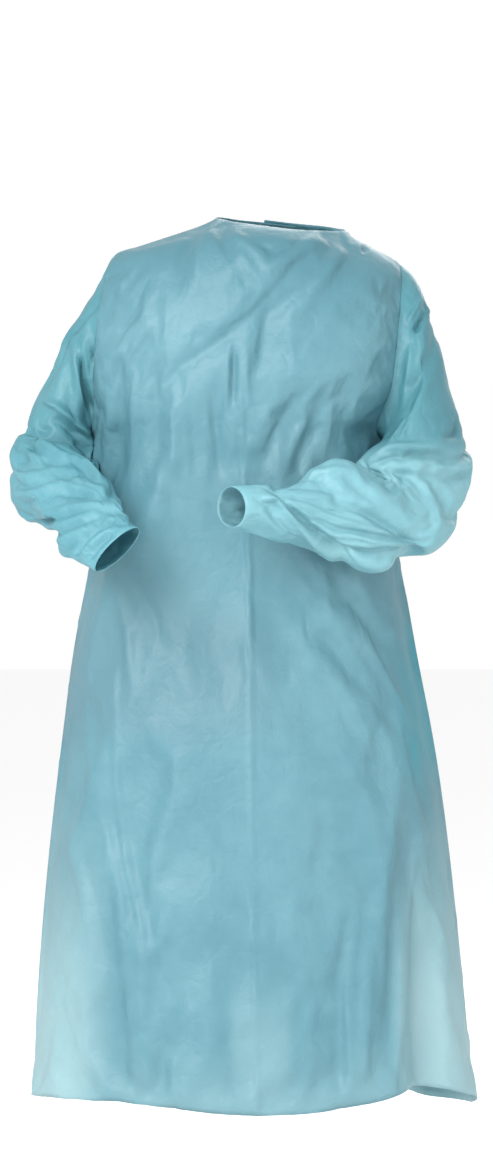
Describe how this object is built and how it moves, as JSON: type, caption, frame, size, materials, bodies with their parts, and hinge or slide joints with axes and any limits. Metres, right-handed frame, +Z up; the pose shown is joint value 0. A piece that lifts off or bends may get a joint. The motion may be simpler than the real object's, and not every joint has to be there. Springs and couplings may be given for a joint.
{
  "type": "procedure gown",
  "caption": "Worn, hollow procedure gown of thin plastic film: loose front and lapped back to below the knee, set-in sleeves bent at the elbow, open neck, cuffs and hem.",
  "frame": {"origin": "midway between the two shoulder tips, level with the sides of the neck opening, where the wearer's shoulders carry the gown", "axes": "+Z up, +X to the wearer's left, the front faces -Y"},
  "size_m": [0.5888, 0.4758, 1.1382],
  "materials": {
    "front_film": "turquoise plastic film, soft satin, slightly translucent, finely crinkled",
    "back_film": "turquoise plastic film, soft satin, slightly translucent, finely crinkled",
    "sleeve_film": "turquoise plastic film, soft satin, slightly translucent, gathered in many folds"
  },
  "bodies": {
    "root": {"front": "front_film", "back_right": "back_film", "back_left": "back_film", "sleeve_right": "sleeve_film", "sleeve_left": "sleeve_film"}
  },
  "joints": []
}
